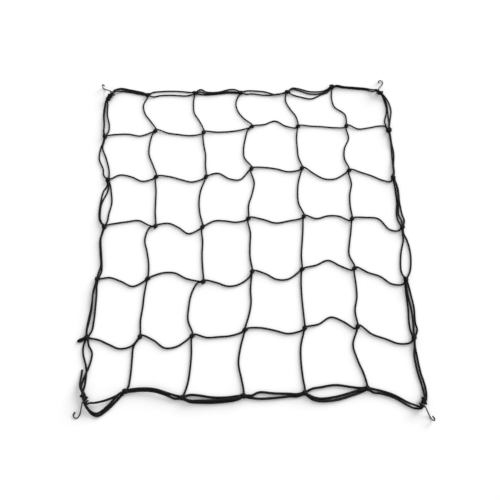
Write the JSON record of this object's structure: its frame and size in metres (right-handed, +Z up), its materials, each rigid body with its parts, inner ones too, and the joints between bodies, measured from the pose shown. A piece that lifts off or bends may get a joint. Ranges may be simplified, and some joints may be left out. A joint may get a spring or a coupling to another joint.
{
  "type": "plant trellis net",
  "caption": "Square elastic plant net of knotted cords with a looped border cord and a small open wire hook at each corner, laid out flat.",
  "frame": {"origin": "middle of the bounding box at the plane the net lies on", "axes": "+Z up from the plane, +Y away from the viewer along the longer side, +X to the viewer's right"},
  "size_m": [0.6452, 0.7194, 0.0138],
  "materials": {
    "cord": "matt braided sheath",
    "hook_wire": "plain drawn wire"
  },
  "bodies": {
    "root": {"mesh_net": "cord", "border_cord": "cord", "hook_far_left": "hook_wire", "hook_far_right": "hook_wire", "hook_near_left": "hook_wire", "hook_near_right": "hook_wire"}
  },
  "joints": []
}
